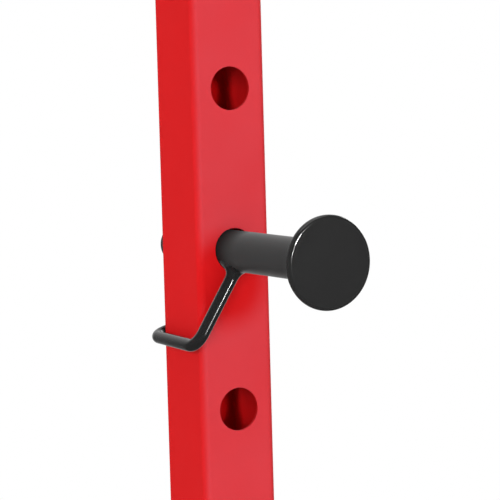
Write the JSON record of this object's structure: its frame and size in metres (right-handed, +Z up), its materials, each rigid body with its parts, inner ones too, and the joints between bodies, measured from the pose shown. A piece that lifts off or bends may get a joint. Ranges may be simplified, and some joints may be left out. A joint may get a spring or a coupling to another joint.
{
  "type": "power cage",
  "caption": "Free-standing power cage of bolted square steel tube, with rows of peg holes up its uprights, turn-in bar catches, sliding safety bars and pull-up bars.",
  "frame": {"origin": "on the floor, under the middle of the cage", "axes": "+X across the cage to the right as seen from the front, +Y from the front to the back, +Z up"},
  "size_m": [1.246, 1.1808, 2.1176],
  "materials": {
    "frame_red": "red powder coat, satin, with a fine orange-peel texture",
    "bar_black": "black powder coat, satin",
    "catch_black": "black powder coat, semi-gloss",
    "fastener_zinc": "bright zinc plating",
    "cap_plastic": "black moulded plastic",
    "foot_rubber": "black rubber"
  },
  "bodies": {
    "frame": {"base_runner_left": "frame_red", "base_runner_right": "frame_red", "end_plate_bolts": "fastener_zinc", "end_plate_nuts": "fastener_zinc", "end_plate_washers": "fastener_zinc", "foot_front_left": "foot_rubber", "foot_front_right": "foot_rubber", "foot_rear_left": "foot_rubber", "foot_rear_right": "foot_rubber", "gusset_bolts": "fastener_zinc", "gusset_nuts": "fastener_zinc", "gusset_washers": "fastener_zinc", "inner_gusset_front_base_left": "frame_red", "inner_gusset_front_base_right": "frame_red", "outer_gusset_front_base_left": "frame_red", "outer_gusset_front_base_right": "frame_red", "outer_gusset_front_top_left": "frame_red", "outer_gusset_front_top_right": "frame_red", "outer_gusset_rear_base_left": "frame_red", "outer_gusset_rear_base_right": "frame_red", "outer_gusset_rear_top_left": "frame_red", "outer_gusset_rear_top_right": "frame_red", "rail_end_caps_left": "cap_plastic", "rail_end_caps_right": "cap_plastic", "rear_base_crossmember": "frame_red", "rear_base_flange_left": "frame_red", "rear_base_flange_right": "frame_red", "rear_top_crossmember": "frame_red", "rear_top_flange_left": "frame_red", "rear_top_flange_right": "frame_red", "runner_end_caps_left": "cap_plastic", "runner_end_caps_right": "cap_plastic", "thick_bar_flange_left": "bar_black", "thick_bar_flange_right": "bar_black", "thick_pull_up_bar": "bar_black", "thin_bar_end_plate_left": "bar_black", "thin_bar_end_plate_right": "bar_black", "thin_pull_up_bar": "bar_black", "top_rail_left": "frame_red", "top_rail_right": "frame_red", "upright_front_left": "frame_red", "upright_front_right": "frame_red", "upright_rear_left": "frame_red", "upright_rear_right": "frame_red"},
    "bar_catch_left": {"bar_catch_disc_left": "catch_black", "bar_catch_latch_left": "catch_black", "bar_catch_peg_left": "catch_black"},
    "safety_bar_left": {"safety_bar_disc_left": "catch_black", "safety_bar_plug_left": "cap_plastic", "safety_bar_tube_left": "catch_black"},
    "bar_catch_right": {"bar_catch_disc_right": "catch_black", "bar_catch_latch_right": "catch_black", "bar_catch_peg_right": "catch_black"},
    "safety_bar_right": {"safety_bar_disc_right": "catch_black", "safety_bar_plug_right": "cap_plastic", "safety_bar_tube_right": "catch_black"}
  },
  "joints": [
    {"name": "bar_catch_left_turn", "type": "hinge", "parent": "frame", "child": "bar_catch_left", "pos_m": [-0.5842, -0.4064, 1.4112], "axis": [0, 1, 0], "range_deg": [0, 120]},
    {"name": "safety_bar_left_slide", "type": "slide", "parent": "frame", "child": "safety_bar_left", "axis": [0, -1, 0], "range_m": [0, 0.762]},
    {"name": "bar_catch_right_turn", "type": "hinge", "parent": "frame", "child": "bar_catch_right", "pos_m": [0.5842, -0.4064, 1.4112], "axis": [0, 1, 0], "range_deg": [0, 120]},
    {"name": "safety_bar_right_slide", "type": "slide", "parent": "frame", "child": "safety_bar_right", "axis": [0, -1, 0], "range_m": [0, 0.762]}
  ]
}
